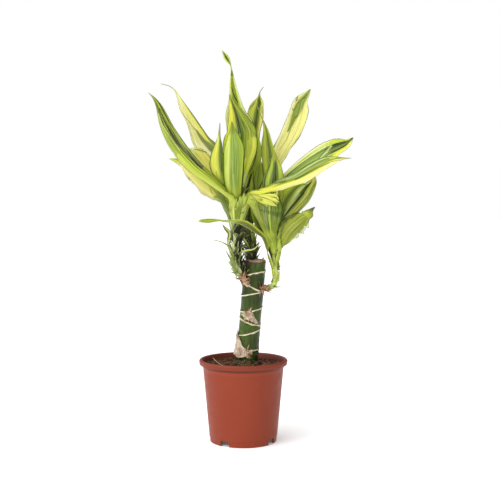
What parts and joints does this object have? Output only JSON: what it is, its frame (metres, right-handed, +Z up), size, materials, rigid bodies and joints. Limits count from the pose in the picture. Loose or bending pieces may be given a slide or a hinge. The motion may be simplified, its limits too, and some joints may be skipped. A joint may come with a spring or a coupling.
{
  "type": "potted dracaena",
  "caption": "Indoor foliage plant: a cut cane with leafy shoots of long striped yellow and green blades, standing in soil in a round tapered plastic nursery pot.",
  "frame": {"origin": "on the surface that the plant stands on, under the pot's centre and about under the centre of the bounding box", "axes": "+Z up the plant, -Y towards the viewer of the picture, +X to that viewer's right"},
  "size_m": [0.2808, 0.1825, 0.5304],
  "materials": {
    "pot": "terracotta-coloured moulded plastic, satin",
    "soil": "dark crumbly peat, matte",
    "cane": "dark green smooth bark with pale leaf scars",
    "husk": "dry papery leaf sheath, tan to reddish brown",
    "stem": "fresh green stem with pale sheath rings",
    "leaf": "waxy leathery living leaf, yellow margins and dark green centre stripe"
  },
  "bodies": {
    "root": {"pot": "pot", "soil": "soil", "cane": "cane", "foot_husk": "husk", "middle_husk": "husk", "left_husk": "husk", "right_husk": "husk", "left_stem": "stem", "right_stem": "stem", "back_stem": "stem", "left_small_leaf_1": "leaf", "left_small_leaf_2": "leaf", "left_small_leaf_3": "leaf", "left_leaf_1": "leaf", "left_leaf_2": "leaf", "left_leaf_3": "leaf", "left_leaf_4": "leaf", "left_leaf_5": "leaf", "left_leaf_6": "leaf", "left_leaf_7": "leaf", "left_leaf_8": "leaf", "left_leaf_9": "leaf", "left_leaf_10": "leaf", "right_leaf_1": "leaf", "right_leaf_2": "leaf", "right_leaf_3": "leaf", "right_leaf_4": "leaf", "right_leaf_5": "leaf", "right_leaf_6": "leaf", "right_leaf_7": "leaf", "right_leaf_8": "leaf", "right_leaf_9": "leaf", "right_leaf_10": "leaf", "right_leaf_11": "leaf", "back_leaf_1": "leaf", "back_leaf_2": "leaf", "back_leaf_3": "leaf", "back_leaf_4": "leaf", "back_leaf_5": "leaf", "back_leaf_6": "leaf"}
  },
  "joints": []
}
